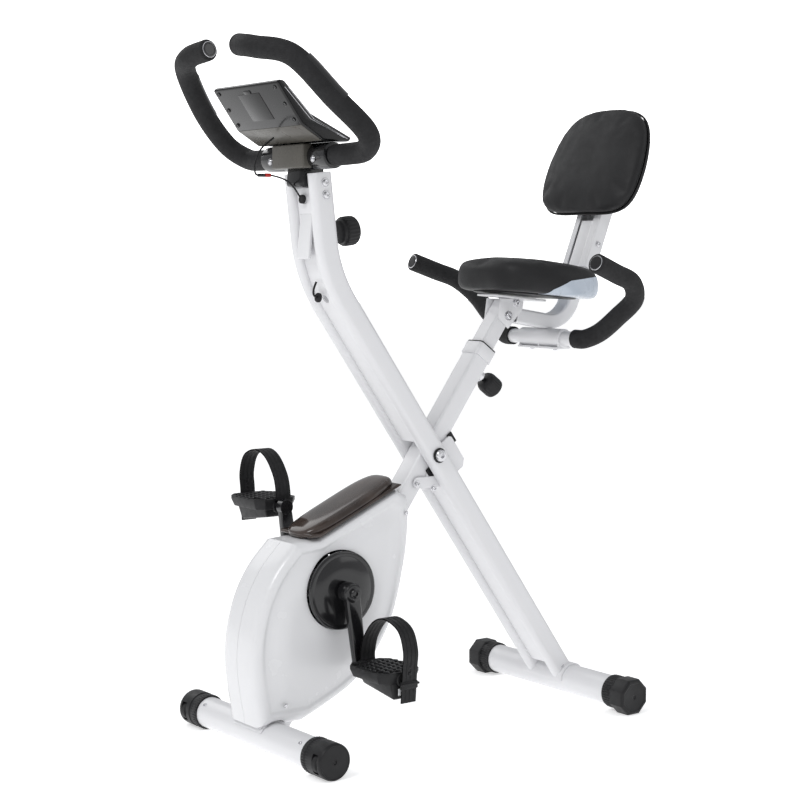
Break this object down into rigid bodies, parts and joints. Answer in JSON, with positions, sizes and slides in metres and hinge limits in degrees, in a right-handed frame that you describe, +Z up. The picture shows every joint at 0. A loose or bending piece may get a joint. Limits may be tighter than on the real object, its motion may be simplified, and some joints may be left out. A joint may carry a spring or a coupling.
{
  "type": "folding upright exercise bike",
  "caption": "Folding X-frame exercise bike with padded saddle and backrest, side handles, curved handlebar with console, strapped pedals and an enclosed belt drive.",
  "frame": {"origin": "centre of the bounding box's footprint, on the floor", "axes": "+Z up, +X towards the front stabilizer and the handlebar tips, +Y to the rider's left"},
  "size_m": [0.8529, 0.516, 1.1125],
  "materials": {
    "white_paint": "gloss",
    "white_plastic": "gloss",
    "smoky_cover": "gloss",
    "black_plastic": "matte",
    "crank_black": "satin",
    "dark_grey_plastic": "matte",
    "grey_plastic": "matte",
    "steel": "satin",
    "cast_iron": "matte",
    "foam": "matte",
    "rubber": "matte",
    "black_leather": "satin"
  },
  "bodies": {
    "main_frame": {"front_stabilizer": "white_paint", "front_cap_left": "black_plastic", "front_cap_right": "black_plastic", "main_tube": "white_paint", "post_bushing": "black_plastic", "bottom_bracket": "white_paint", "crank_bearing": "steel", "flywheel_bracket": "white_paint", "housing_left": "white_plastic", "housing_right": "white_plastic", "top_cover": "smoky_cover", "drive_belt": "rubber"},
    "wheel_left": {"transport_wheel_left": "black_plastic"},
    "wheel_right": {"transport_wheel_right": "black_plastic"},
    "crank": {"crank_axle": "steel", "belt_pulley": "black_plastic", "crank_left": "crank_black", "crank_right": "crank_black", "crank_disc_left": "black_plastic", "crank_disc_right": "black_plastic", "pedal_spindle_left": "steel", "pedal_spindle_right": "steel"},
    "flywheel": {"flywheel": "cast_iron"},
    "magnet": {"magnet_bracket": "steel"},
    "pedal_left": {"pedal_left": "black_plastic", "strap_left": "rubber"},
    "pedal_right": {"pedal_right": "black_plastic", "strap_right": "rubber"},
    "pin": {"seat_pin": "black_plastic"},
    "seat": {"seat_post": "white_paint", "seat_bracket": "steel", "saddle_base": "dark_grey_plastic", "saddle_cushion": "black_leather", "backrest_tube": "white_paint", "side_handle": "white_paint", "handle_foam_left": "foam", "handle_foam_right": "foam", "handle_clamp": "steel"},
    "backrest": {"backrest_rail": "white_paint", "backrest_board": "black_plastic", "backrest_cushion": "black_leather"},
    "rear_frame": {"rail_left": "white_paint", "rail_right": "white_paint", "upper_web": "white_paint", "lower_web": "white_paint", "rear_stabilizer": "white_paint", "pivot_bolt": "steel", "front_plate": "white_plastic", "handlebar_clamp": "black_plastic", "console_body": "dark_grey_plastic", "console_wire": "rubber", "wire_grommet": "rubber"},
    "rear_cap_left": {"rear_cap_left": "black_plastic"},
    "rear_cap_right": {"rear_cap_right": "black_plastic"},
    "knob": {"tension_knob": "black_plastic"},
    "handlebar": {"handlebar_tube": "steel", "grip_left": "foam", "grip_right": "foam"},
    "button": {"console_button": "grey_plastic"}
  },
  "joints": [
    {"name": "wheel_left_spin", "type": "hinge", "parent": "main_frame", "child": "wheel_left", "pos_m": [0.3637, 0.192, 0.0265], "axis": [0, 1, 0], "continuous": true},
    {"name": "wheel_right_spin", "type": "hinge", "parent": "main_frame", "child": "wheel_right", "pos_m": [0.3637, -0.192, 0.0265], "axis": [0, 1, 0], "continuous": true},
    {"name": "crank_spin", "type": "hinge", "parent": "main_frame", "child": "crank", "pos_m": [0.2288, 0, 0.2518], "axis": [0, 1, 0], "continuous": true},
    {"name": "flywheel_spin", "type": "hinge", "parent": "main_frame", "child": "flywheel", "pos_m": [0.3032, 0, 0.148], "axis": [0, 1, 0], "continuous": true},
    {"name": "pedal_left_spin", "type": "hinge", "parent": "crank", "child": "pedal_left", "pos_m": [0.21283, 0.1, 0.13287], "axis": [0, 1, 0], "continuous": true},
    {"name": "pedal_right_spin", "type": "hinge", "parent": "crank", "child": "pedal_right", "pos_m": [0.24477, -0.1, 0.37073], "axis": [0, 1, 0], "continuous": true},
    {"name": "pin_pull", "type": "slide", "parent": "main_frame", "child": "pin", "axis": [-0.809, 0, -0.5878], "range_m": [0, 0.012], "stiffness_N_per_m": 600, "springref_m": -0.004},
    {"name": "seat_height", "type": "slide", "parent": "main_frame", "child": "seat", "axis": [-0.5878, 0, 0.809], "range_m": [-0.012, 0.1]},
    {"name": "backrest_height", "type": "slide", "parent": "seat", "child": "backrest", "axis": [-0.3746, 0, 0.9272], "range_m": [-0.005, 0.04]},
    {"name": "fold", "type": "hinge", "parent": "main_frame", "child": "rear_frame", "pos_m": [0.0215, 0, 0.4516], "axis": [0, -1, 0], "range_deg": [0, 38]},
    {"name": "rear_cap_left_turn", "type": "hinge", "parent": "rear_frame", "child": "rear_cap_left", "pos_m": [-0.2768, 0.18, 0.0315], "axis": [0, 1, 0], "continuous": true},
    {"name": "rear_cap_right_turn", "type": "hinge", "parent": "rear_frame", "child": "rear_cap_right", "pos_m": [-0.2768, -0.18, 0.0315], "axis": [0, 1, 0], "continuous": true},
    {"name": "tension_turn", "type": "hinge", "parent": "rear_frame", "child": "knob", "pos_m": [0.2192, 0, 0.816], "axis": [-0.9934, 0, 0.1149], "range_deg": [0, 300]},
    {"name": "magnet_gap", "type": "hinge", "parent": "main_frame", "child": "magnet", "pos_m": [0.2372, 0, 0.102], "axis": [0, 1, 0], "range_deg": [-3, 0]},
    {"name": "handlebar_tilt", "type": "hinge", "parent": "rear_frame", "child": "handlebar", "pos_m": [0.263, 0, 0.9348], "axis": [0, 1, 0], "range_deg": [-10, 10]},
    {"name": "console_button_press", "type": "slide", "parent": "rear_frame", "child": "button", "axis": [0.4067, 0, -0.9135], "range_m": [0, 0.001], "stiffness_N_per_m": 800, "springref_m": -0.0008}
  ],
  "couplings": [
    {"joint": "flywheel_spin", "follows": "crank_spin", "ratio": 5.7143},
    {"joint": "magnet_gap", "follows": "tension_turn", "ratio": -0.01}
  ]
}
